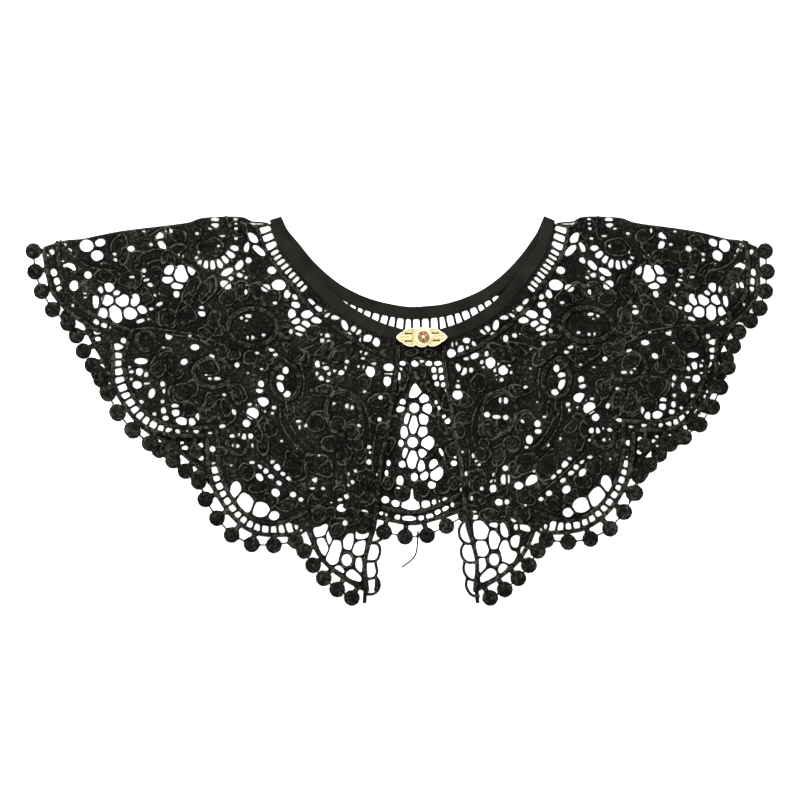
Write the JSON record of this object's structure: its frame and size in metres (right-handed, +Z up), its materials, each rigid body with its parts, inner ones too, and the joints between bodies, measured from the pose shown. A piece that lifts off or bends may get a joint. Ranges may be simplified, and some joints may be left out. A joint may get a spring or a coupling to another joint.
{
  "type": "lace collar",
  "caption": "Black guipure lace cape collar with scalloped ball hem, bias-bound neck and gilt clasp, laid flat and closed.",
  "frame": {"origin": "middle of the collar's box, on the surface that it lies on", "axes": "+X across the collar to the wearer's left shoulder, +Y from the hem up to the shoulder folds, +Z up off the surface"},
  "size_m": [0.4872, 0.2532, 0.0084],
  "materials": {
    "thread": "black rayon embroidery thread with a soft sheen",
    "tape": "matte black woven bias tape",
    "gilt": "pale gilt casting, polished",
    "amber": "amber enamel in a gilt rosette"
  },
  "bodies": {
    "root": {"lace_back": "thread", "lace_front_left": "thread", "lace_front_right": "thread", "neck_binding": "tape", "clasp_eye_half": "gilt", "clasp_hook_half": "gilt", "clasp_rosette": "amber"}
  },
  "joints": []
}
